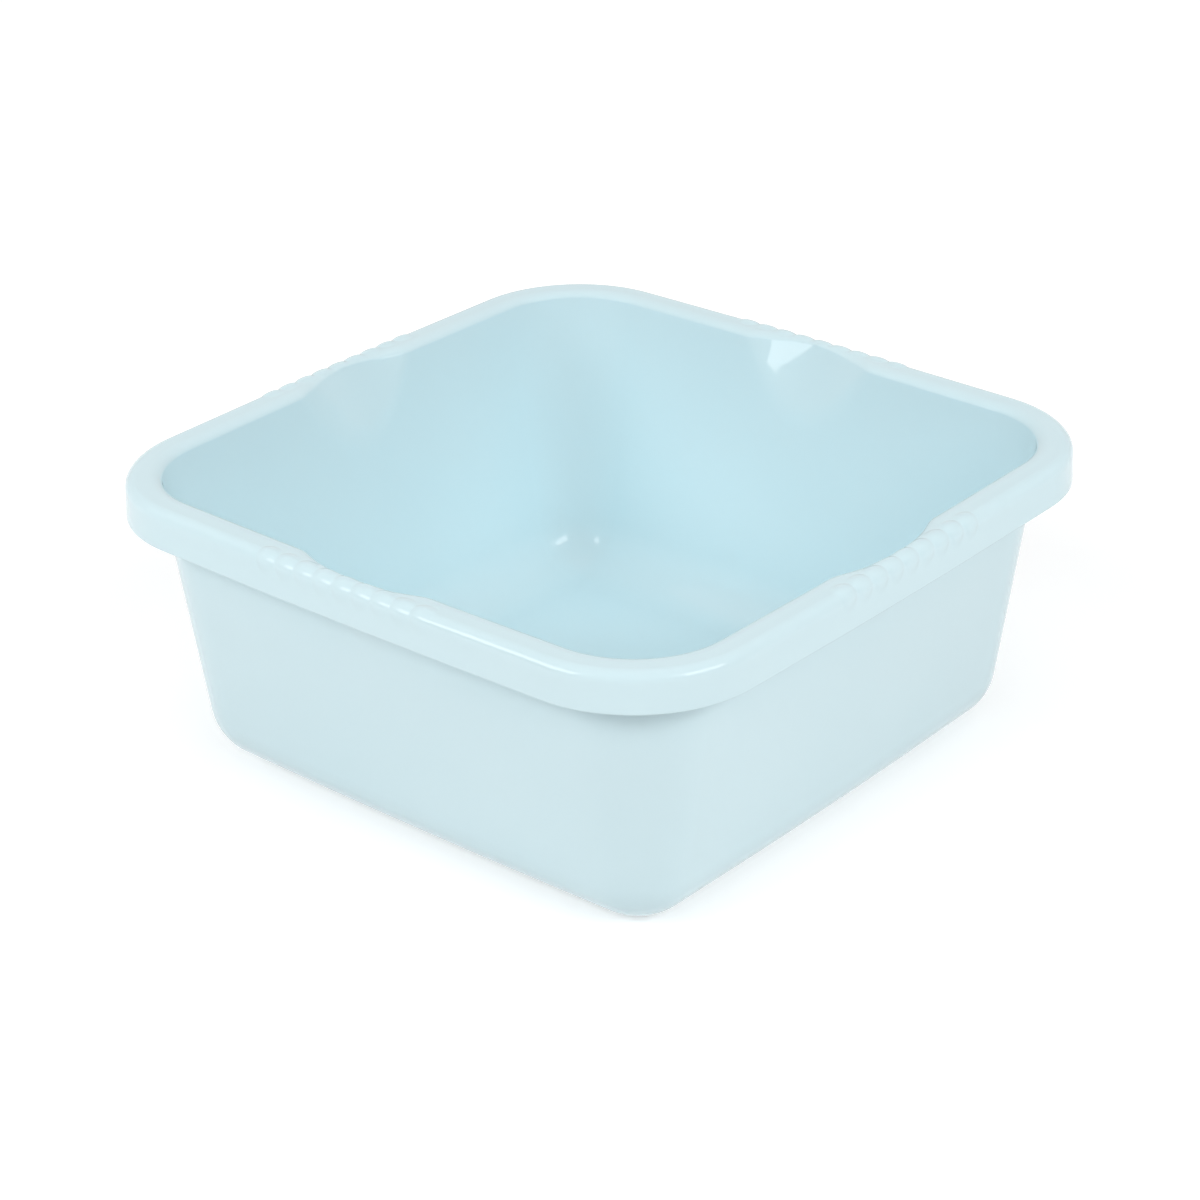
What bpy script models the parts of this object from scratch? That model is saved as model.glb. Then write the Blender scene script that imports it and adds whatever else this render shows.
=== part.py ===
"""Square washing-up basin, moulded in one from polypropylene.

A tapered bowl hangs from a rim whose edge rolls over into a skirt all round. In the middle of
each side is a finger grip: the wall swells outward in a scoop that breaks the rim's inner edge,
and half-round ribs cross the rim's shoulder. A low foot ring under the base carries the basin.

Metres, +Z up. The origin is the centre of the surface that the basin stands on, and the four
sides face -Y (front), +X (right), +Y (back) and -X (left).
"""

import math

import bmesh
import bpy
from mathutils import Vector

MM = 0.001

# Outline in plan
RIM_SIDE = 320.0 * MM            # across the skirt's lower edge, between the middles of two sides
RIM_CORNER_RADIUS = 57.0 * MM    # at the skirt's lower edge
SIDE_ARC_RADIUS = 4300.0 * MM    # each side is a very flat arc

# Height and walls
HEIGHT = 136.0 * MM
WALL = 2.0 * MM
WALL_DRAFT = math.radians(8.0)
BASE_EDGE_RADIUS = 27.0 * MM     # outside, where the wall turns into the base
LEAST_CORNER_RADIUS = 1.0 * MM   # what the base's edge radius leaves of the base's corners

# Rim
RIM_OVERHANG = 13.6 * MM         # from the skirt's lower edge in to the wall's outside, at the top
SKIRT_DEPTH = 17.2 * MM
SKIRT_DRAFT = math.radians(2.5)
SHOULDER_RADIUS = 4.7 * MM
INNER_EDGE_RADIUS = 6.0 * MM
SKIRT_EDGE_CHAMFER = 0.5 * MM
LEAST_FLAT = 0.3 * MM            # flat top left between the inner edge and the shoulder in a grip
LEAST_INSIDE_RADIUS = 0.4 * MM
RIM_LEG = 6.6 * MM               # how far the rim pieces reach down the wall

# Finger grips
SCOOP_HALF_WIDTH = 34.5 * MM
SCOOP_SWELL = 7.8 * MM
SCOOP_DROP = 32.0 * MM
SCOOP_EASE = 0.06                # share of the scoop's swell over which its border is softened
RIB_COUNT = 9
RIB_PITCH = 10.4 * MM
RIB_WIDTH = 3.8 * MM
RIB_RISE = 0.7 * MM
RIB_ROOT = 0.5 * MM              # how far a rib's middle line lies under the rim's surface
RIB_RUN = 1.2 * MM               # from the shoulder inward over the rim's top
RIB_END = 1.6 * MM               # length of a rib's rounded end
RIB_LOW_ANGLE = math.radians(4.0)      # slope of the shoulder, from upright, where a rib starts
GRIP_END_MARGIN = 6.4 * MM       # from the last rib's centre line to the end of the grip

# Foot ring
FOOT_HEIGHT = 1.5 * MM
FOOT_WIDTH = 4.0 * MM
FOOT_INSET = 6.0 * MM            # from the edge of the flat base in to the ring
FOOT_CORNER_RADIUS = 24.0 * MM

# Plastic
PALE_BLUE = (0.62, 0.83, 0.89, 1.0)
SOFT_GLOSS = 0.28

# Facets
CORNER_STEPS = 7
FILLET_STEPS = 5
EDGE_STEPS = 4
INSIDE_STEPS = 2
RIB_SIDES = 8
RIB_STEPS = 5
RIB_END_STEPS = 2
SCOOP_STATIONS = (0.0, 0.25, 0.5, 0.7, 0.87, 1.0, 1.09)   # shares of the scoop's half width
SCOOP_LEVELS = (0.38, 0.58, 0.77, 0.92, 1.08)             # shares of the scoop's drop

SMOOTH_ANGLE = math.radians(32.0)
QUARTER = math.pi / 2.0

# Worked out from the sizes above
SIDE_CENTRE = SIDE_ARC_RADIUS - RIM_SIDE / 2.0
BASE_Z = FOOT_HEIGHT
WALL_SLOPE = math.tan(WALL_DRAFT)
WALL_TOP = RIM_SIDE / 2.0 - RIM_OVERHANG
WALL_INNER_TOP = WALL_TOP - WALL / math.cos(WALL_DRAFT)
SCOOP_SLOPE = SCOOP_SWELL / SCOOP_DROP
GRIP_HALF = max((RIB_COUNT - 1) / 2.0 * RIB_PITCH, SCOOP_HALF_WIDTH) + GRIP_END_MARGIN


def corner_centre():
    """Distance of a corner's centre from both centre planes: its arc meets both sides smoothly."""
    reach = SIDE_ARC_RADIUS - RIM_CORNER_RADIUS
    return (math.sqrt(2.0 * reach ** 2 - SIDE_CENTRE ** 2) - SIDE_CENTRE) / 2.0


CORNER_CENTRE = corner_centre()
CORNER_REACH = SIDE_ARC_RADIUS - RIM_CORNER_RADIUS
CORNER_ANGLE = math.atan2(CORNER_CENTRE, SIDE_CENTRE + CORNER_CENTRE)


def base_edge_radius():
    """The base's edge radius, held to what the wall and the corners leave room for."""
    least_half_width = CORNER_REACH - SIDE_CENTRE + LEAST_CORNER_RADIUS
    foot_of_wall = WALL_TOP - (HEIGHT - BASE_Z) * WALL_SLOPE
    room = (foot_of_wall - least_half_width) / (1.0 / math.cos(WALL_DRAFT) - WALL_SLOPE)
    return min(BASE_EDGE_RADIUS, room)


BASE_RADIUS = base_edge_radius()
BASE_ARC_Z = BASE_Z + BASE_RADIUS
FLAT_BASE = WALL_TOP - (HEIGHT - BASE_ARC_Z) * WALL_SLOPE - BASE_RADIUS / math.cos(WALL_DRAFT)


def side_station(x):
    """Plan position on the front side at x, for any half width of the outline."""
    def at(half_width):
        return Vector((x, SIDE_CENTRE - math.sqrt((SIDE_CENTRE + half_width) ** 2 - x ** 2)))
    return at


def corner_station(angle):
    """Plan position on the front right corner, at an angle from +X, for any half width."""
    centre = Vector((CORNER_CENTRE, -CORNER_CENTRE))

    def at(half_width):
        radius = SIDE_CENTRE + half_width - CORNER_REACH
        return centre + radius * Vector((math.cos(angle), math.sin(angle)))
    return at


def turned(station, quarters):
    """The same station on the side that lies a number of quarter turns on."""
    def at(half_width):
        point = station(half_width)
        for _ in range(quarters):
            point = Vector((-point.y, point.x))
        return point
    return at


def grip_positions():
    """Stations along a grip, from its left end to its right end."""
    right = [share * SCOOP_HALF_WIDTH for share in SCOOP_STATIONS]
    right.append(GRIP_HALF)
    left = [-x for x in reversed(right[1:])]
    return left + right


def corner_stations():
    """Stations round the front right corner, ends included."""
    start = CORNER_ANGLE - QUARTER
    turn = QUARTER - 2.0 * CORNER_ANGLE
    return [corner_station(start + turn * step / CORNER_STEPS) for step in range(CORNER_STEPS + 1)]


def eased(share):
    """Zero below zero and the share itself above it, with a soft start."""
    if share <= -SCOOP_EASE:
        return 0.0
    if share >= SCOOP_EASE:
        return share
    return (share + SCOOP_EASE) ** 2 / (4.0 * SCOOP_EASE)


def eased_slope(share):
    """How fast the eased share grows."""
    return min(1.0, max(0.0, (share + SCOOP_EASE) / (2.0 * SCOOP_EASE)))


def scoop_share(x, depth):
    """One at the scoop's deepest point, zero along its border, which is a parabola on the wall."""
    return 1.0 - (x / SCOOP_HALF_WIDTH) ** 2 - depth / SCOOP_DROP


def inner_wall(x, depth):
    """Half width of the bowl's inside at x along a side, at a depth below the rim's top."""
    return WALL_INNER_TOP - depth * WALL_SLOPE + SCOOP_SWELL * eased(scoop_share(x, depth))


def wall_tilt(x, depth):
    """Angle of the wall from upright."""
    return math.atan(WALL_SLOPE + SCOOP_SLOPE * eased_slope(scoop_share(x, depth)))


def outer_wall(x, depth):
    """Half width of the bowl's outside, one wall's thickness beyond its inside."""
    return inner_wall(x, depth) + WALL / math.cos(wall_tilt(x, depth))


def arc(centre_width, centre_z, radius, start, end, steps):
    """Points of an arc in a section, as pairs of half width and height."""
    points = []
    for step in range(steps + 1):
        angle = start + (end - start) * step / steps
        points.append((centre_width + radius * math.cos(angle), centre_z + radius * math.sin(angle)))
    return points


def skirt_face(z, inset):
    """Half width of the skirt's outer face at a height, or of a face set in from it."""
    drop = z - (HEIGHT - SKIRT_DEPTH)
    return RIM_SIDE / 2.0 - drop * math.tan(SKIRT_DRAFT) - inset / math.cos(SKIRT_DRAFT)


def shoulder_arc(top, inset, steps):
    """The arc that turns the rim's top, or its underside, down into the skirt."""
    radius = max(SHOULDER_RADIUS - inset, LEAST_INSIDE_RADIUS)
    centre_z = top - radius
    centre_width = skirt_face(centre_z, inset) - radius / math.cos(SKIRT_DRAFT)
    return arc(centre_width, centre_z, radius, QUARTER, SKIRT_DRAFT, steps)


def inner_edge_radius(x, tilt):
    """The inner edge's radius, which tightens where the scoop leaves less of the rim's top."""
    shoulder_start = shoulder_arc(HEIGHT, 0.0, 1)[0][0]
    room = shoulder_start - LEAST_FLAT - inner_wall(x, 0.0)
    return min(INNER_EDGE_RADIUS, room * math.cos(tilt) / (1.0 - math.sin(tilt)))


def inner_edge_arc(wall_width, top, tilt, radius, steps):
    """The arc that turns the wall, this wide at the arc's top, into the flat of the rim."""
    centre_width = wall_width + radius * (1.0 - math.sin(tilt)) / math.cos(tilt)
    return arc(centre_width, top - radius, radius, math.pi - tilt, QUARTER, steps)


def rim_section(x):
    """Closed section of the rim at x along a side: inner leg, flat top, shoulder and skirt."""
    tilt = wall_tilt(x, 0.0)
    radius = inner_edge_radius(x, tilt)
    inside_radius = max(radius - WALL, LEAST_INSIDE_RADIUS)
    underside = HEIGHT - WALL
    outside_there = inner_wall(x, 0.0) - WALL * math.tan(tilt) + WALL / math.cos(tilt)
    foot = HEIGHT - SKIRT_DEPTH
    chamfer = SKIRT_EDGE_CHAMFER

    section = [(inner_wall(x, RIM_LEG), HEIGHT - RIM_LEG)]
    section += inner_edge_arc(inner_wall(x, 0.0), HEIGHT, tilt, radius, EDGE_STEPS)
    section += shoulder_arc(HEIGHT, 0.0, EDGE_STEPS)
    section += [(skirt_face(foot + chamfer, 0.0), foot + chamfer)]
    section += [(skirt_face(foot, chamfer), foot)]
    section += [(skirt_face(foot, WALL - chamfer), foot)]
    section += [(skirt_face(foot + chamfer, WALL), foot + chamfer)]
    section += reversed(shoulder_arc(underside, WALL, INSIDE_STEPS))
    section += reversed(inner_edge_arc(outside_there, underside, tilt, inside_radius, INSIDE_STEPS))
    section += [(outer_wall(x, RIM_LEG), HEIGHT - RIM_LEG)]
    return section


def new_mesh(name, build):
    """A mesh made by a function that fills a bmesh, with its faces turned outward."""
    shell = bmesh.new()
    build(shell)
    bmesh.ops.recalc_face_normals(shell, faces=shell.faces)
    mesh = bpy.data.meshes.new(name)
    shell.to_mesh(mesh)
    shell.free()
    mesh.shade_smooth()
    mesh.set_sharp_from_angle(angle=SMOOTH_ANGLE)
    return mesh


def bridge(shell, first, second):
    """Quads between two rings of as many vertices."""
    count = len(first)
    for index in range(count):
        after = (index + 1) % count
        shell.faces.new((first[index], first[after], second[after], second[index]))


def loft(shell, rings, closed):
    """A skin through rings of points, joined end to end or capped at both ends."""
    layers = [[shell.verts.new(point) for point in ring] for ring in rings]
    for lower, upper in zip(layers, layers[1:]):
        bridge(shell, lower, upper)
    if closed:
        bridge(shell, layers[-1], layers[0])
    else:
        shell.faces.new(layers[0])
        shell.faces.new(layers[-1])


def station_ring(station, section):
    """A section's points set up in space at a station."""
    ring = []
    for half_width, z in section:
        plan = station(half_width)
        ring.append(Vector((plan.x, plan.y, z)))
    return ring


def fill_grip(shell):
    """The front grip's stretch of rim, before its ribs."""
    rings = [station_ring(side_station(x), rim_section(x)) for x in grip_positions()]
    loft(shell, rings, closed=False)


def fill_rim_corner(shell):
    """The stretch of rim round the front right corner, from one grip to the next."""
    section = rim_section(GRIP_HALF)
    stations = [side_station(GRIP_HALF)]
    stations += corner_stations()
    stations += [turned(side_station(-GRIP_HALF), 1)]
    loft(shell, [station_ring(station, section) for station in stations], closed=False)


def rib_path():
    """A rib's middle from its lower to its upper end: half width, height, slope of the face."""
    middle_radius = SHOULDER_RADIUS - RIB_ROOT
    centre_z = HEIGHT - SHOULDER_RADIUS
    centre_width = skirt_face(centre_z, 0.0) - SHOULDER_RADIUS / math.cos(SKIRT_DRAFT)
    path = []
    for step in range(RIB_STEPS + 1):
        angle = RIB_LOW_ANGLE + (QUARTER - RIB_LOW_ANGLE) * step / RIB_STEPS
        half_width = centre_width + middle_radius * math.cos(angle)
        path.append((half_width, centre_z + middle_radius * math.sin(angle), angle))
    path.append((centre_width - RIB_RUN, HEIGHT - RIB_ROOT, QUARTER))
    return path


def rib_ring(x, place, share, slide):
    """Ring of a rib at a place on its path, drawn in to a share and slid along the path."""
    half_width, z, angle = place
    rise = RIB_RISE + RIB_ROOT
    half_wide = RIB_WIDTH / 2.0 / math.sqrt(1.0 - (RIB_ROOT / rise) ** 2)
    out = Vector((0.0, -math.cos(angle), math.sin(angle)))
    along = Vector((0.0, math.sin(angle), math.cos(angle)))
    plan = side_station(x)(half_width)
    middle = Vector((plan.x, plan.y, z)) + along * slide
    ring = []
    for side in range(RIB_SIDES):
        turn = 2.0 * math.pi * side / RIB_SIDES
        across = Vector((half_wide * math.cos(turn), 0.0, 0.0))
        ring.append(middle + share * (across + rise * math.sin(turn) * out))
    return ring


def rib_rings(x):
    """Rings of one round-ended rib laid over the shoulder at x."""
    path = rib_path()
    leans = [QUARTER * step / (RIB_END_STEPS + 1.0) for step in range(1, RIB_END_STEPS + 1)]
    rings = [rib_ring(x, path[0], math.cos(lean), -RIB_END * math.sin(lean)) for lean in reversed(leans)]
    rings += [rib_ring(x, place, 1.0, 0.0) for place in path]
    rings += [rib_ring(x, path[-1], math.cos(lean), RIB_END * math.sin(lean)) for lean in leans]
    return rings


def fill_ribs(shell):
    """All the ribs of the front grip."""
    for index in range(RIB_COUNT):
        x = (index - (RIB_COUNT - 1) / 2.0) * RIB_PITCH
        loft(shell, rib_rings(x), closed=False)


def bowl_ring(width_at, depth):
    """Ring of the bowl at a depth, with half widths from a function of x and depth."""
    z = HEIGHT - depth
    ring = []
    for quarters in range(4):
        for x in grip_positions():
            plan = turned(side_station(x), quarters)(width_at(x, depth))
            ring.append(Vector((plan.x, plan.y, z)))
        for station in corner_stations():
            plan = turned(station, quarters)(width_at(GRIP_HALF, depth))
            ring.append(Vector((plan.x, plan.y, z)))
    return ring


def base_arc_rings(radius, steps):
    """Rings round the base's edge, from the wall down to the flat."""
    section = arc(FLAT_BASE, BASE_ARC_Z, radius, -WALL_DRAFT, -QUARTER, steps)
    rings = []
    for half_width, z in section:
        rings.append(bowl_ring(lambda x, depth, width=half_width: width, HEIGHT - z))
    return rings


def fill_bowl(shell):
    """The bowl below the rim: inside skin, top edge and outside skin in one closed loft."""
    levels = [RIM_LEG] + [share * SCOOP_DROP for share in SCOOP_LEVELS]
    inside = [bowl_ring(inner_wall, depth) for depth in levels]
    inside += base_arc_rings(BASE_RADIUS - WALL, FILLET_STEPS)
    outside = [bowl_ring(outer_wall, depth) for depth in levels]
    outside += base_arc_rings(BASE_RADIUS, FILLET_STEPS)
    loft(shell, list(reversed(inside)) + outside, closed=False)


def rounded_square(half_width, radius):
    """Corner by corner points of a square with rounded corners."""
    points = []
    for quarters in range(4):
        middle = Vector((half_width - radius, -(half_width - radius)))
        for step in range(CORNER_STEPS + 1):
            angle = -QUARTER + QUARTER * step / CORNER_STEPS
            point = middle + radius * Vector((math.cos(angle), math.sin(angle)))
            for _ in range(quarters):
                point = Vector((-point.y, point.x))
            points.append(point)
    return points


def fill_foot_ring(shell):
    """A flat-faced ring under the base, a little inside its edge."""
    outer = FLAT_BASE - FOOT_INSET
    inner = outer - FOOT_WIDTH
    rings = []
    for half_width, z in ((outer, 0.0), (outer, BASE_Z), (inner, BASE_Z), (inner, 0.0)):
        radius = FOOT_CORNER_RADIUS - (outer - half_width)
        rings.append([Vector((point.x, point.y, z)) for point in rounded_square(half_width, radius)])
    loft(shell, rings, closed=True)


def plastic(name):
    """Pale blue moulded plastic with a soft gloss."""
    material = bpy.data.materials.new(name)
    material.use_nodes = True
    shader = material.node_tree.nodes["Principled BSDF"]
    shader.inputs["Base Color"].default_value = PALE_BLUE
    shader.inputs["Roughness"].default_value = SOFT_GLOSS
    shader.inputs["Metallic"].default_value = 0.0
    return material


def add_object(name, mesh, parent, quarters=0):
    """An object of a mesh, turned by quarter turns about the basin's axis."""
    item = bpy.data.objects.new(name, mesh)
    item.parent = parent
    item.rotation_euler = (0.0, 0.0, quarters * QUARTER)
    bpy.context.scene.collection.objects.link(item)
    return item


def ribbed_grip_mesh(material):
    """The grip's stretch of rim with its ribs joined on."""
    plain = bpy.data.objects.new("grip_plain", new_mesh("grip_plain", fill_grip))
    ribs = bpy.data.objects.new("grip_ribs", new_mesh("grip_ribs", fill_ribs))
    for item in (plain, ribs):
        bpy.context.scene.collection.objects.link(item)
    join = plain.modifiers.new("ribs", "BOOLEAN")
    join.operation = "UNION"
    join.solver = "EXACT"
    join.object = ribs
    graph = bpy.context.evaluated_depsgraph_get()
    mesh = bpy.data.meshes.new_from_object(plain.evaluated_get(graph))
    mesh.name = "grip"
    mesh.materials.clear()
    mesh.materials.append(material)
    mesh.shade_smooth()
    mesh.set_sharp_from_angle(angle=SMOOTH_ANGLE)
    for item in (plain, ribs):
        bpy.data.objects.remove(item)
    return mesh


def clear_scene():
    """Remove whatever the file holds."""
    for item in list(bpy.data.objects):
        bpy.data.objects.remove(item)


def build_basin():
    """All sub-parts under one empty at the origin."""
    clear_scene()
    basin = bpy.data.objects.new("basin", None)
    bpy.context.scene.collection.objects.link(basin)

    bowl = new_mesh("bowl", fill_bowl)
    bowl.materials.append(plastic("bowl_plastic"))
    add_object("bowl", bowl, basin)

    foot = new_mesh("foot_ring", fill_foot_ring)
    foot.materials.append(plastic("foot_plastic"))
    add_object("foot_ring", foot, basin)

    grip = ribbed_grip_mesh(plastic("grip_plastic"))
    for quarters, side in enumerate(("front", "right", "back", "left")):
        add_object(f"grip_{side}", grip, basin, quarters)

    corner = new_mesh("rim_corner", fill_rim_corner)
    corner.materials.append(plastic("rim_plastic"))
    for quarters, place in enumerate(("front_right", "back_right", "back_left", "front_left")):
        add_object(f"rim_corner_{place}", corner, basin, quarters)


build_basin()
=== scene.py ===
"""Square washing-up basin of pale blue polypropylene, in plain white studio light.

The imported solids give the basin's places and overall sizes. Each of them is replaced by a fine skin
of the same form, and the skins meet so that the basin reads as the one moulding that it is.
Metres, +Z up, in the basin's own frame: the sides face -Y (front), +X (right), +Y and -X.
"""

import math

import bpy
from mathutils import Matrix, Vector


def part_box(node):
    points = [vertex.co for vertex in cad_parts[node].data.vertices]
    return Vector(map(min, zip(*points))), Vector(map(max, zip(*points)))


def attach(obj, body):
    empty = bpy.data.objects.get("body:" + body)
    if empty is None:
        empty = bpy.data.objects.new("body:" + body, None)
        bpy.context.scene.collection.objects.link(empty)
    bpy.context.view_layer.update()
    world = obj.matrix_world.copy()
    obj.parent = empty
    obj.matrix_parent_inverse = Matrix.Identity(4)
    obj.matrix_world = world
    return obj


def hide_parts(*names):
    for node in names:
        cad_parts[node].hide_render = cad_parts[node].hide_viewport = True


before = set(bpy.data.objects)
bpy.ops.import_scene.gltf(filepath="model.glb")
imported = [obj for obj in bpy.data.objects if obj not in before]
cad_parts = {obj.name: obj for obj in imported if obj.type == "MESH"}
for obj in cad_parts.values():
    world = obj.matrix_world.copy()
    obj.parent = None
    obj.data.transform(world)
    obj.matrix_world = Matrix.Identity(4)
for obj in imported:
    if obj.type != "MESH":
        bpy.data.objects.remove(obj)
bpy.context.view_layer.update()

MM = 0.001
QUARTER = math.pi / 2.0
SIDES = ("front", "right", "back", "left")
CORNERS = ("front_right", "back_right", "back_left", "front_left")

# Places that the frame gives
rim_low, rim_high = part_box("rim_corner_front_right")
HEIGHT = rim_high.z
GRIP_HALF = rim_low.x
SKIRT_DEPTH = HEIGHT - rim_low.z
RIM_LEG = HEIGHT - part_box("bowl")[1].z
BASE_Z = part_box("foot_ring")[1].z
FOOT_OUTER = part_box("foot_ring")[1].x

# The moulding's own sizes
WALL = 2.0 * MM
WALL_DRAFT = math.radians(8.0)
BASE_RADIUS = 27.0 * MM
SKIRT_DRAFT = math.radians(2.5)
SKIRT_EDGE_RADIUS = 0.5 * MM
SHOULDER_RADIUS = 4.7 * MM
INNER_EDGE_WIDTH = 6.0 * MM
INNER_EDGE_RATIO = 0.5
INNER_EDGE_DEPTH = INNER_EDGE_RATIO * INNER_EDGE_WIDTH
LEAST_FLAT = 0.3 * MM
LEAST_INSIDE_RADIUS = 0.4 * MM
SIDE_ARC_RADIUS = 4300.0 * MM
RIM_CORNER_RADIUS = 57.0 * MM
RIM_OVERHANG = 13.6 * MM

# The wall's slight outward curl below the inner edge
CURL = 0.12 * MM
CURL_DROP = 12.0 * MM

# The finger grip's scoop in the wall, with a soft border
SCOOP_HALF_WIDTH = 34.5 * MM
SCOOP_SWELL = 7.8 * MM
SCOOP_DROP = 32.0 * MM
SCOOP_EASE = 0.18

# The finger grip's ribs, with where they start and end on the shoulder and how far they fade beyond
RIB_COUNT = 9
RIB_PITCH = 10.4 * MM
RIB_HALF_WIDTH = 4.75 * MM
RIB_RISE = 0.7 * MM
RIB_FULLNESS = 2.4
RIB_FILLET = 0.25 * MM
RIB_START = 0.9 * MM
RIB_TOP_FADE = 4.0 * MM
RIB_LOW_ANGLE = math.radians(45.0)
RIB_LOW_FADE = 7.0 * MM

# Foot ring
FOOT_WIDTH = 4.0 * MM
FOOT_CORNER_RADIUS = 24.0 * MM
FOOT_EDGE_RADIUS = 0.4 * MM

# How fine the skins are
RIB_STATIONS = 20
HOLLOW_CROWDING = 0.7
END_STATIONS = 8
CORNER_STEPS = 36
LEG_STEPS = 5
EDGE_STEPS = 24
FLAT_STEPS = 12
SHOULDER_STEPS = 22
SKIRT_TOP_STEPS = 8
SKIRT_STEPS = 5
ROUND_STEPS = 4
SCOOP_ROWS = 20
WALL_ROWS = 6
FILLET_STEPS = 14
SMOOTH_ANGLE = math.radians(40.0)
# Rings on the flat floor, as shares of its outline's size
FLOOR_RINGS = (0.97, 0.85, 0.6, 0.3, 0.05)


def rim_half_width():
    """Half the rim's side at the skirt's lower edge, from the rim corner's reach beside the grip."""
    bend = SIDE_ARC_RADIUS - math.sqrt(SIDE_ARC_RADIUS ** 2 - GRIP_HALF ** 2)
    return rim_high.x + bend + SKIRT_EDGE_RADIUS * math.tan(SKIRT_DRAFT)


RIM_HALF = rim_half_width()
SIDE_CENTRE = SIDE_ARC_RADIUS - RIM_HALF
CORNER_REACH = SIDE_ARC_RADIUS - RIM_CORNER_RADIUS
CORNER_CENTRE = (math.sqrt(2.0 * CORNER_REACH ** 2 - SIDE_CENTRE ** 2) - SIDE_CENTRE) / 2.0
CORNER_ANGLE = math.atan2(CORNER_CENTRE, SIDE_CENTRE + CORNER_CENTRE)
WALL_SLOPE = math.tan(WALL_DRAFT)
WALL_INNER_TOP = RIM_HALF - RIM_OVERHANG - WALL / math.cos(WALL_DRAFT)
BASE_ARC_Z = BASE_Z + BASE_RADIUS
FLAT_BASE = (RIM_HALF - RIM_OVERHANG - (HEIGHT - BASE_ARC_Z) * WALL_SLOPE
             - BASE_RADIUS / math.cos(WALL_DRAFT))


# Plan

def turned(point, quarters):
    """A plan position turned by quarter turns about the basin's axis."""
    for _ in range(quarters):
        point = Vector((-point.y, point.x))
    return point


def side_station(x):
    """Plan position on the front side at x, for any half width of the outline."""
    def at(half_width):
        return Vector((x, SIDE_CENTRE - math.sqrt((SIDE_CENTRE + half_width) ** 2 - x ** 2)))
    return at


def corner_station(angle):
    """Plan position on the front right corner, at an angle from +X, for any half width."""
    def at(half_width):
        radius = SIDE_CENTRE + half_width - CORNER_REACH
        return Vector((CORNER_CENTRE + radius * math.cos(angle),
                       -CORNER_CENTRE + radius * math.sin(angle)))
    return at


def rib_station(step):
    """Place of a station on the ribs, closer together in the hollows than on the crests."""
    pitches = step / RIB_STATIONS
    shift = HOLLOW_CROWDING * math.sin(2.0 * math.pi * pitches) / (2.0 * math.pi)
    return RIB_PITCH * (pitches - shift - RIB_COUNT / 2.0)


def grip_positions():
    """Stations along a grip from end to end."""
    ribs_half = RIB_COUNT * RIB_PITCH / 2.0
    ribs = [rib_station(step) for step in range(RIB_COUNT * RIB_STATIONS + 1)]
    margin = GRIP_HALF - ribs_half
    right = [ribs_half + margin * step / END_STATIONS for step in range(1, END_STATIONS + 1)]
    return [-x for x in reversed(right)] + ribs + right


def corner_stations():
    """Stations round the front right corner, ends included."""
    start = CORNER_ANGLE - QUARTER
    turn = QUARTER - 2.0 * CORNER_ANGLE
    return [corner_station(start + turn * step / CORNER_STEPS) for step in range(CORNER_STEPS + 1)]


# Walls

def eased(share):
    """Zero below zero and the share itself above it, with a soft start."""
    if share <= -SCOOP_EASE:
        return 0.0
    if share >= SCOOP_EASE:
        return share
    return (share + SCOOP_EASE) ** 2 / (4.0 * SCOOP_EASE)


def scoop_share(x, depth):
    """One at the scoop's deepest point, zero along its border, which is a parabola on the wall."""
    return 1.0 - (x / SCOOP_HALF_WIDTH) ** 2 - depth / SCOOP_DROP


def inner_wall(x, depth):
    """Half width of the bowl's inside at x along a side, at a depth below the rim's top."""
    curl = CURL * max(0.0, 1.0 - depth / CURL_DROP) ** 2
    return WALL_INNER_TOP - depth * WALL_SLOPE + curl + SCOOP_SWELL * eased(scoop_share(x, depth))


def wall_tilt(x, depth):
    """Angle of the wall from upright."""
    share = (scoop_share(x, depth) + SCOOP_EASE) / (2.0 * SCOOP_EASE)
    curl = 2.0 * CURL / CURL_DROP * max(0.0, 1.0 - depth / CURL_DROP)
    return math.atan(WALL_SLOPE + curl + SCOOP_SWELL / SCOOP_DROP * min(1.0, max(0.0, share)))


def outer_wall(x, depth):
    """Half width of the bowl's outside, one wall's thickness beyond its inside."""
    return inner_wall(x, depth) + WALL / math.cos(wall_tilt(x, depth))


def wall_reach(x, tilt):
    """Half width where the inner wall, going straight on past the inner edge, meets the top."""
    return inner_wall(x, INNER_EDGE_DEPTH) + INNER_EDGE_DEPTH * math.tan(tilt)


# The rim's section, as pairs of half width and height

def between(first, last, steps):
    """Points on a straight line after its first point."""
    run, rise = last[0] - first[0], last[1] - first[1]
    return [(first[0] + run * step / steps, first[1] + rise * step / steps)
            for step in range(1, steps + 1)]


def arc(centre_width, centre_z, radius, start, end, steps):
    """Points of an arc, ends included."""
    points = []
    for step in range(steps + 1):
        angle = start + (end - start) * step / steps
        points.append((centre_width + radius * math.cos(angle), centre_z + radius * math.sin(angle)))
    return points


def skirt_face(z, inset):
    """Half width of the skirt's outer face at a height, or of a face set in from it."""
    drop = z - (HEIGHT - SKIRT_DEPTH)
    return RIM_HALF - drop * math.tan(SKIRT_DRAFT) - inset / math.cos(SKIRT_DRAFT)


def shoulder_arc(top, inset, steps):
    """The arc that turns the rim's top, or its underside, down into the skirt."""
    radius = max(SHOULDER_RADIUS - inset, LEAST_INSIDE_RADIUS)
    centre_z = top - radius
    centre_width = skirt_face(centre_z, inset) - radius / math.cos(SKIRT_DRAFT)
    return arc(centre_width, centre_z, radius, QUARTER, SKIRT_DRAFT, steps)


def inner_edge_reach(tilt):
    """How far the inner edge, of width one, reaches over the rim from where wall and top would meet."""
    turn = math.atan(INNER_EDGE_RATIO * math.tan(tilt))
    return math.cos(turn) - INNER_EDGE_RATIO * (1.0 - math.sin(turn)) * math.tan(tilt)


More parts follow.
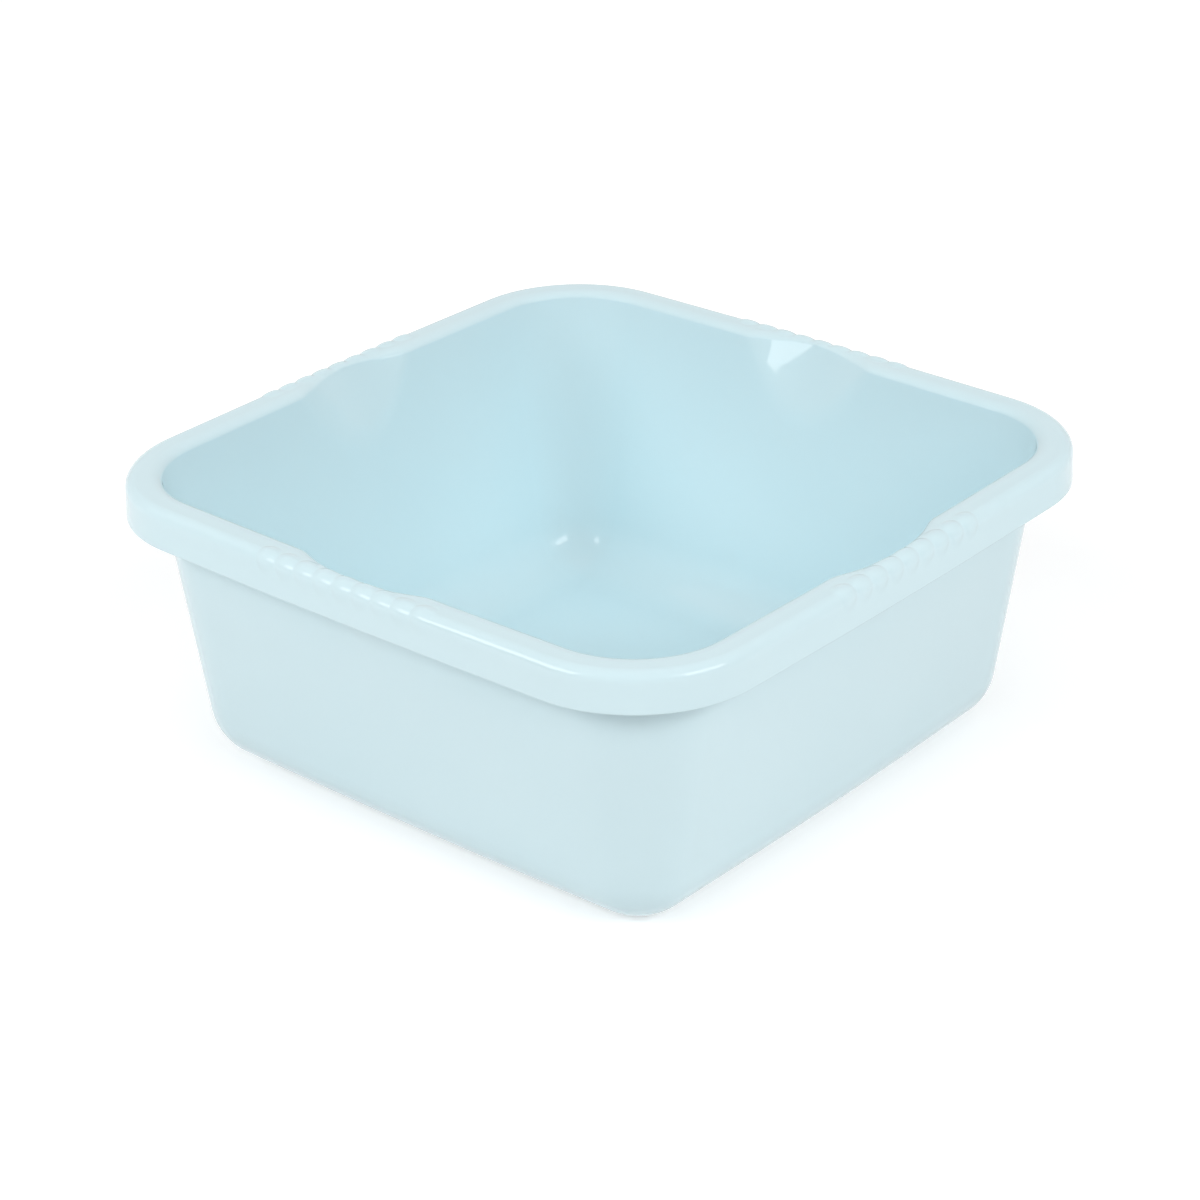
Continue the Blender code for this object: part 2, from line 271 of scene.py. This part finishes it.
def inner_edge_width(x, tilt):
    """The inner edge's width, which lessens where the scoop leaves less of the rim's top."""
    room = shoulder_arc(HEIGHT, 0.0, 1)[0][0] - LEAST_FLAT - wall_reach(x, tilt)
    return min(INNER_EDGE_WIDTH, room / inner_edge_reach(tilt))


def inner_edge(wall_width, top, tilt, width):
    """The quarter of an ellipse that turns the wall, this wide at the top, into the flat of the rim."""
    depth = INNER_EDGE_RATIO * width
    centre_width = wall_width + width * inner_edge_reach(tilt)
    points = []
    for step in range(EDGE_STEPS):
        facing = tilt + (QUARTER - tilt) * step / EDGE_STEPS
        turn = math.atan(INNER_EDGE_RATIO * math.tan(facing))
        points.append((centre_width - width * math.cos(turn), top - depth + depth * math.sin(turn)))
    return points + [(centre_width, top)]


def hidden_edge(wall_width, top, tilt, radius):
    """The arc that turns the wall's hidden side, this wide at the top, into the rim's underside."""
    centre_width = wall_width + radius * (1.0 - math.sin(tilt)) / math.cos(tilt)
    return arc(centre_width, top - radius, radius, math.pi - tilt, QUARTER, ROUND_STEPS)


def skirt_edge():
    """The skirt's rounded lower edge, from its outer face round to its inner face."""
    radius = SKIRT_EDGE_RADIUS
    centre_z = HEIGHT - SKIRT_DEPTH + radius
    outside = arc(skirt_face(centre_z, 0.0) - radius, centre_z, radius, 0.0, -QUARTER, ROUND_STEPS)
    inside = arc(skirt_face(centre_z, WALL) + radius, centre_z, radius, -QUARTER, -math.pi, ROUND_STEPS)
    return outside + inside


def upper_section(x):
    """The rim's upper face at x along a side: inner leg, inner edge, flat top, shoulder, skirt."""
    tilt = wall_tilt(x, INNER_EDGE_DEPTH)
    edge = inner_edge(wall_reach(x, tilt), HEIGHT, tilt, inner_edge_width(x, tilt))
    shoulder = shoulder_arc(HEIGHT, 0.0, SHOULDER_STEPS)
    leg = []
    for step in range(LEG_STEPS):
        depth = RIM_LEG + (HEIGHT - edge[0][1] - RIM_LEG) * step / LEG_STEPS
        leg.append((inner_wall(x, depth), HEIGHT - depth))
    below_ribs_z = shoulder[-1][1] - RIB_LOW_FADE
    below_ribs = (skirt_face(below_ribs_z, 0.0), below_ribs_z)
    section = leg + edge
    section += between(edge[-1], shoulder[0], FLAT_STEPS) + shoulder[1:]
    section += between(shoulder[-1], below_ribs, SKIRT_TOP_STEPS)
    section += between(below_ribs, skirt_edge()[0], SKIRT_STEPS)
    return section


def lower_section(x):
    """The rim's hidden face at x: skirt's edge and inside, underside, outer leg."""
    tilt = wall_tilt(x, INNER_EDGE_DEPTH)
    inside_radius = max(INNER_EDGE_RATIO * inner_edge_width(x, tilt) - WALL, LEAST_INSIDE_RADIUS)
    underside = HEIGHT - WALL
    wall_there = wall_reach(x, tilt) - WALL * math.tan(tilt) + WALL / math.cos(tilt)
    section = skirt_edge()[1:]
    section += reversed(shoulder_arc(underside, WALL, ROUND_STEPS))
    section += reversed(hidden_edge(wall_there, underside, tilt, inside_radius))
    section += [(outer_wall(x, RIM_LEG), HEIGHT - RIM_LEG)]
    return section


# Ribs

def rib_height(x, along):
    """Height of the ribs over the rim's face at x, this far along from the shoulder's start.

    Wide low ribs stand side by side, with a narrow rounded hollow between each two.
    """
    nearest = round(x / RIB_PITCH)
    if abs(nearest) > (RIB_COUNT - 1) / 2:
        return 0.0
    low_end = SHOULDER_RADIUS * (QUARTER - RIB_LOW_ANGLE)
    beyond = max(0.0, (RIB_START - along) / RIB_TOP_FADE, (along - low_end) / RIB_LOW_FADE)
    across = abs(x - nearest * RIB_PITCH) / RIB_HALF_WIDTH
    height = RIB_RISE * (1.0 - across ** RIB_FULLNESS - beyond ** 2)
    if height <= -RIB_FILLET:
        return 0.0
    if height >= RIB_FILLET:
        return height
    return (height + RIB_FILLET) ** 2 / (4.0 * RIB_FILLET)


def ribbed(x, section):
    """An upper section with the ribs' height added along its outward normals."""
    start = LEG_STEPS + EDGE_STEPS + FLAT_STEPS
    lengths = [0.0]
    for first, second in zip(section, section[1:]):
        lengths.append(lengths[-1] + math.dist(first, second))
    raised = []
    for index, (half_width, z) in enumerate(section):
        height = rib_height(x, lengths[index] - lengths[start])
        before = section[max(index - 1, 0)]
        after = section[min(index + 1, len(section) - 1)]
        run, rise = after[0] - before[0], after[1] - before[1]
        size = math.hypot(run, rise)
        raised.append((half_width - rise / size * height, z + run / size * height))
    return raised


# Skins

def placed(station, quarters, section):
    """A section's points in space at a station, turned by quarter turns about the basin's axis."""
    points = []
    for half_width, z in section:
        plan = turned(station(half_width), quarters)
        points.append((plan.x, plan.y, z))
    return points


def add_sheet(vertices, faces, rows, closed, flip):
    """Quads through rows of points; closed joins the ends of each row."""
    first = len(vertices)
    width = len(rows[0])
    for row in rows:
        vertices.extend(row)
    for row in range(len(rows) - 1):
        for column in range(width if closed else width - 1):
            after = (column + 1) % width
            face = [first + row * width + column, first + row * width + after,
                    first + (row + 1) * width + after, first + (row + 1) * width + column]
            faces.append(face[::-1] if flip else face)


def add_cap(faces, first, count, flip):
    """One face over a ring of points."""
    face = list(range(first, first + count))
    faces.append(face[::-1] if flip else face)


def make_piece(name, vertices, faces, material, node):
    """A smooth mesh object that stands for a node of the frame."""
    mesh = bpy.data.meshes.new(name)
    mesh.from_pydata(vertices, [], faces)
    mesh.materials.append(material)
    mesh.shade_smooth()
    mesh.set_sharp_from_angle(angle=SMOOTH_ANGLE)
    piece = bpy.data.objects.new(name, mesh)
    bpy.context.scene.collection.objects.link(piece)
    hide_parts(node)
    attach(piece, "root")


def grip_skin(quarters, side, material):
    """A grip's stretch of rim with its scooped inner edge and its ribs."""
    vertices, faces = [], []
    rows = []
    for x in grip_positions():
        section = ribbed(x, upper_section(x)) + lower_section(x)
        rows.append(placed(side_station(x), quarters, section))
    add_sheet(vertices, faces, rows, closed=False, flip=False)
    make_piece(f"grip_{side}_skin", vertices, faces, material, f"grip_{side}")


def rim_corner_skin(quarters, corner, material):
    """The rim round a corner, from one grip to the next."""
    vertices, faces = [], []
    section = upper_section(GRIP_HALF) + lower_section(GRIP_HALF)
    rows = [placed(side_station(GRIP_HALF), quarters, section)]
    rows += [placed(station, quarters, section) for station in corner_stations()]
    rows += [placed(side_station(-GRIP_HALF), quarters + 1, section)]
    add_sheet(vertices, faces, rows, closed=False, flip=False)
    make_piece(f"rim_corner_{corner}_skin", vertices, faces, material, f"rim_corner_{corner}")


def bowl_ring(width_at, depth):
    """Ring of the bowl at a depth, with half widths from a function of x and depth."""
    ring = []
    for quarters in range(4):
        for x in grip_positions():
            ring += placed(side_station(x), quarters, [(width_at(x, depth), HEIGHT - depth)])
        for station in corner_stations():
            ring += placed(station, quarters, [(width_at(GRIP_HALF, depth), HEIGHT - depth)])
    return ring


def bowl_rows(width_at, fillet_radius, floor_z):
    """Rings from the seam below the rim down the wall, round the base's edge and over the floor."""
    scoop_end = SCOOP_DROP * (1.0 + SCOOP_EASE)
    fillet_top = HEIGHT - (BASE_ARC_Z - fillet_radius * math.sin(WALL_DRAFT))
    depths = [RIM_LEG + (scoop_end - RIM_LEG) * step / SCOOP_ROWS for step in range(SCOOP_ROWS + 1)]
    depths += [scoop_end + (fillet_top - scoop_end) * step / WALL_ROWS for step in range(1, WALL_ROWS)]
    rows = [bowl_ring(width_at, depth) for depth in depths]
    for half_width, z in arc(FLAT_BASE, BASE_ARC_Z, fillet_radius, -WALL_DRAFT, -QUARTER, FILLET_STEPS):
        rows.append(bowl_ring(lambda x, depth, width=half_width: width, HEIGHT - z))
    edge = rows[-1]
    rows += [[(x * share, y * share, floor_z) for x, y, z in edge] for share in FLOOR_RINGS]
    return rows


def add_bowl_side(vertices, faces, rows, flip):
    """The bowl's inside or its outside, with a cap in the middle of the floor."""
    add_sheet(vertices, faces, rows, closed=True, flip=flip)
    add_cap(faces, len(vertices) - len(rows[-1]), len(rows[-1]), flip)


def bowl_skin(material):
    """The bowl's inside and outside below the rim."""
    vertices, faces = [], []
    add_bowl_side(vertices, faces, bowl_rows(inner_wall, BASE_RADIUS - WALL, BASE_Z + WALL), flip=False)
    add_bowl_side(vertices, faces, bowl_rows(outer_wall, BASE_RADIUS, BASE_Z), flip=True)
    make_piece("bowl_skin", vertices, faces, material, "bowl")


def foot_section():
    """The foot ring's section, outer face first, with rounded lower edges."""
    radius = FOOT_EDGE_RADIUS
    inner = FOOT_OUTER - FOOT_WIDTH
    section = [(FOOT_OUTER, BASE_Z)]
    section += arc(FOOT_OUTER - radius, radius, radius, 0.0, -QUARTER, ROUND_STEPS)
    section += arc(inner + radius, radius, radius, -QUARTER, -math.pi, ROUND_STEPS)
    section += [(inner, BASE_Z)]
    return section


def rounded_square(half_width, radius):
    """Points of a square with rounded corners, corner by corner."""
    points = []
    for quarters in range(4):
        for step in range(CORNER_STEPS + 1):
            angle = QUARTER * step / CORNER_STEPS - QUARTER
            point = Vector((half_width - radius + radius * math.cos(angle),
                            radius - half_width + radius * math.sin(angle)))
            points.append(turned(point, quarters))
    return points


def foot_skin(material):
    """The low ring that the basin stands on."""
    vertices, faces = [], []
    rows = []
    for half_width, z in foot_section():
        radius = FOOT_CORNER_RADIUS - (FOOT_OUTER - half_width)
        rows.append([(point.x, point.y, z) for point in rounded_square(half_width, radius)])
    add_sheet(vertices, faces, rows, closed=True, flip=True)
    make_piece("foot_ring_skin", vertices, faces, material, "foot_ring")


# Plastic

PLASTIC_IOR = 1.49
CLOUD_SCALE = 14.0
CLOUD_DETAIL = 3.0
CLOUD_RANGE = (0.35, 0.65)
CLOUD_COLOURS = ((0.664, 0.843, 0.893, 1.0), (0.674, 0.849, 0.897, 1.0))
LEAST_ROUGHNESS = 0.03
MOST_ROUGHNESS = 0.05
PEEL_SCALE = 260.0
PEEL_DETAIL = 2.0
PEEL_STRENGTH = 0.03
PEEL_DEPTH = 0.2 * MM


def noise(nodes, links, place, scale, detail):
    """Socket with soft random clouds."""
    clouds = nodes.new("ShaderNodeTexNoise")
    clouds.inputs["Scale"].default_value = scale
    clouds.inputs["Detail"].default_value = detail
    links.new(place, clouds.inputs["Vector"])
    return clouds.outputs["Fac"]


def polypropylene():
    """Pale icy blue moulded plastic: glossy, with a faint orange peel and slight clouding."""
    material = bpy.data.materials.new("pale_blue_polypropylene")
    material.use_nodes = True
    nodes = material.node_tree.nodes
    links = material.node_tree.links
    shader = nodes["Principled BSDF"]
    shader.inputs["IOR"].default_value = PLASTIC_IOR
    place = nodes.new("ShaderNodeTexCoord").outputs["Object"]

    clouds = noise(nodes, links, place, CLOUD_SCALE, CLOUD_DETAIL)
    tint = nodes.new("ShaderNodeValToRGB")
    for stop, position, colour in zip(tint.color_ramp.elements, CLOUD_RANGE, CLOUD_COLOURS):
        stop.position = position
        stop.color = colour
    links.new(clouds, tint.inputs["Fac"])
    links.new(tint.outputs["Color"], shader.inputs["Base Color"])

    gloss = nodes.new("ShaderNodeMapRange")
    gloss.inputs["To Min"].default_value = LEAST_ROUGHNESS
    gloss.inputs["To Max"].default_value = MOST_ROUGHNESS
    links.new(clouds, gloss.inputs["Value"])
    links.new(gloss.outputs["Result"], shader.inputs["Roughness"])

    peel = nodes.new("ShaderNodeBump")
    peel.inputs["Strength"].default_value = PEEL_STRENGTH
    peel.inputs["Distance"].default_value = PEEL_DEPTH
    links.new(noise(nodes, links, place, PEEL_SCALE, PEEL_DETAIL), peel.inputs["Height"])
    links.new(peel.outputs["Normal"], shader.inputs["Normal"])
    return material


# Studio

WHITE = (1.0, 1.0, 1.0, 1.0)
FLOOR_REACH = 12.0
PAPER = (0.82, 0.82, 0.82, 1.0)
PAPER_GLOW = 0.40
LAMP_DISTANCE = 1.5
# The tent's light high up, on the camera's side of the basin and behind it: pairs of the sine of an
# elevation and the share of the full brightness there
TENT_BRIGHTNESS = 3.2
HIGH_TENT = ((0.74, 0.0), (0.83, 0.0), (0.92, 0.32))
FRONT_TENT = ((0.28, 0.0), (0.44, 0.22), (0.55, 0.86), (0.65, 0.84)) + HIGH_TENT
BACK_TENT = ((0.04, 0.03), (0.16, 0.30), (0.40, 0.26), (0.56, 0.05)) + HIGH_TENT
# Brightness that the basin mirrors on the camera's side, and where it gives way to the white
# backdrop, as cosines of the angle from straight behind the basin
ROOM = 0.25
BACKDROP_START = -0.3
BACKDROP_FULL = 0.3


def direction(azimuth, elevation):
    """Unit vector towards an azimuth, from -Y round towards +X, and an elevation, in degrees."""
    turn, rise = math.radians(azimuth), math.radians(elevation)
    return Vector((math.sin(turn) * math.cos(rise), -math.cos(turn) * math.cos(rise), math.sin(rise)))


def greatest(nodes, links, sockets):
    """Socket with the greatest of several values."""
    total = sockets[0]
    for socket in sockets[1:]:
        either = nodes.new("ShaderNodeMath")
        either.operation = "MAXIMUM"
        links.new(total, either.inputs[0])
        links.new(socket, either.inputs[1])
        total = either.outputs["Value"]
    return total


def blend(nodes, links, share, first, second):
    """Socket with a value that goes from a first one to a second one, each a number or a socket."""
    mix = nodes.new("ShaderNodeMix")
    mix.data_type = "FLOAT"
    links.new(share, mix.inputs["Factor"])
    for name, value in (("A", first), ("B", second)):
        if isinstance(value, float):
            mix.inputs[name].default_value = value
        else:
            links.new(value, mix.inputs[name])
    return mix.outputs["Result"]


def floor_material():
    """White paper that looks white and keeps the basin's soft shadow."""
    material = bpy.data.materials.new("white_paper")
    material.use_nodes = True
    nodes = material.node_tree.nodes
    links = material.node_tree.links
    shader = nodes["Principled BSDF"]
    shader.inputs["Base Color"].default_value = PAPER
    shader.inputs["Roughness"].default_value = 1.0
    shader.inputs["Specular IOR Level"].default_value = 0.0
    shader.inputs["Emission Color"].default_value = WHITE
    rays = nodes.new("ShaderNodeLightPath").outputs
    kinds = ("Is Camera Ray", "Is Glossy Ray", "Is Transmission Ray")
    seen = greatest(nodes, links, [rays[kind] for kind in kinds])
    links.new(blend(nodes, links, seen, 0.0, PAPER_GLOW), shader.inputs["Emission Strength"])
    return material


def add_floor():
    """A wide white floor under the basin."""
    mesh = bpy.data.meshes.new("floor")
    reach = FLOOR_REACH
    corners = [(-reach, -reach, 0.0), (reach, -reach, 0.0), (reach, reach, 0.0), (-reach, reach, 0.0)]
    mesh.from_pydata(corners, [], [(0, 1, 2, 3)])
    mesh.materials.append(floor_material())
    floor = bpy.data.objects.new("floor", mesh)
    bpy.context.scene.collection.objects.link(floor)


def tent_light(nodes, links, place, stops):
    """Socket with one side's brightness at each height."""
    split = nodes.new("ShaderNodeSeparateXYZ")
    links.new(place, split.inputs["Vector"])
    ramp = nodes.new("ShaderNodeValToRGB")
    steps = ramp.color_ramp.elements
    while len(steps) < len(stops):
        steps.new(1.0)
    for step, (height, share) in zip(steps, stops):
        step.position = height
        step.color = (share, share, share, 1.0)
    links.new(split.outputs["Z"], ramp.inputs["Fac"])
    strength = nodes.new("ShaderNodeMath")
    strength.operation = "MULTIPLY"
    strength.inputs[1].default_value = TENT_BRIGHTNESS
    links.new(ramp.outputs["Color"], strength.inputs[0])
    return strength.outputs["Value"]


def share_behind(nodes, links, place):
    """Socket that goes from zero on the camera's side of the basin to one behind it."""
    behind = nodes.new("ShaderNodeVectorMath")
    behind.operation = "DOT_PRODUCT"
    behind.inputs[1].default_value = -direction(CAMERA_AZIMUTH, 0.0)
    links.new(place, behind.inputs[0])
    edge = nodes.new("ShaderNodeMapRange")
    edge.interpolation_type = "SMOOTHSTEP"
    edge.inputs["From Min"].default_value = BACKDROP_START
    edge.inputs["From Max"].default_value = BACKDROP_FULL
    links.new(behind.outputs["Value"], edge.inputs["Value"])
    return edge.outputs["Result"]


def add_world():
    """A studio tent round the basin, which is white wherever it is seen."""
    world = bpy.data.worlds.new("studio")
    world.use_nodes = True
    nodes = world.node_tree.nodes
    links = world.node_tree.links
    place = nodes.new("ShaderNodeTexCoord").outputs["Generated"]
    rays = nodes.new("ShaderNodeLightPath").outputs
    behind = share_behind(nodes, links, place)
    light = blend(nodes, links, behind, tent_light(nodes, links, place, FRONT_TENT),
                  tent_light(nodes, links, place, BACK_TENT))
    mirrored = blend(nodes, links, behind, ROOM, 1.0)
    unseen = blend(nodes, links, rays["Is Glossy Ray"], light, mirrored)
    seen = greatest(nodes, links, [rays["Is Camera Ray"], rays["Is Transmission Ray"]])
    background = nodes["Background"]
    background.inputs["Color"].default_value = WHITE
    links.new(blend(nodes, links, seen, unseen, 1.0), background.inputs["Strength"])
    bpy.context.scene.world = world


def add_softbox(name, azimuth, elevation, width, height, watts):
    """A rectangular lamp that faces the basin."""
    light = bpy.data.lights.new(name, "AREA")
    light.shape = "RECTANGLE"
    light.size = width
    light.size_y = height
    light.energy = watts
    lamp = bpy.data.objects.new(name, light)
    aim = direction(azimuth, elevation)
    lamp.location = Vector((0.0, 0.0, HEIGHT)) + aim * LAMP_DISTANCE
    lamp.rotation_euler = aim.to_track_quat("Z", "Y").to_euler()
    lamp.visible_camera = False
    bpy.context.scene.collection.objects.link(lamp)


def add_lamps():
    """A softbox at the left of the camera and one at its right."""
    add_softbox("left_softbox", azimuth=-20.5, elevation=26.5, width=0.86, height=0.54, watts=5.3)
    add_softbox("right_softbox", azimuth=90.0, elevation=27.0, width=0.80, height=0.50, watts=5.0)


# Camera

IMAGE_SIDE = 1200.0
LENS = 96.43
CAMERA_AZIMUTH = 40.321
CAMERA_ELEVATION = 26.742
CAMERA_ROLL = math.radians(-0.8142)
CAMERA_DISTANCE = 1388.0 * MM
# The camera looks at a point on the basin's axis, this high and at this pixel of the photograph
TARGET_Z = 65.5 * MM
TARGET_PIXEL = (604.75, 601.05)


def add_camera():
    """The photograph's camera."""
    back = direction(CAMERA_AZIMUTH, CAMERA_ELEVATION)
    level = Vector((0.0, 0.0, 1.0)).cross(back).normalized()
    upright = back.cross(level)
    right = math.cos(CAMERA_ROLL) * level + math.sin(CAMERA_ROLL) * upright
    up = back.cross(right)
    data = bpy.data.cameras.new("camera")
    data.lens = LENS
    data.shift_x = 0.5 - TARGET_PIXEL[0] / IMAGE_SIDE
    data.shift_y = TARGET_PIXEL[1] / IMAGE_SIDE - 0.5
    camera = bpy.data.objects.new("camera", data)
    place = Vector((0.0, 0.0, TARGET_Z)) + back * CAMERA_DISTANCE
    camera.matrix_world = Matrix((
        (right.x, up.x, back.x, place.x),
        (right.y, up.y, back.y, place.y),
        (right.z, up.z, back.z, place.z),
        (0.0, 0.0, 0.0, 1.0),
    ))
    bpy.context.scene.collection.objects.link(camera)
    bpy.context.scene.camera = camera


def build():
    """The basin's skins, the studio and the camera."""
    plastic = polypropylene()
    bowl_skin(plastic)
    foot_skin(plastic)
    for quarters, side in enumerate(SIDES):
        grip_skin(quarters, side, plastic)
    for quarters, corner in enumerate(CORNERS):
        rim_corner_skin(quarters, corner, plastic)
    add_floor()
    add_world()
    add_lamps()
    add_camera()
    bpy.context.scene.view_settings.view_transform = "Standard"


build()
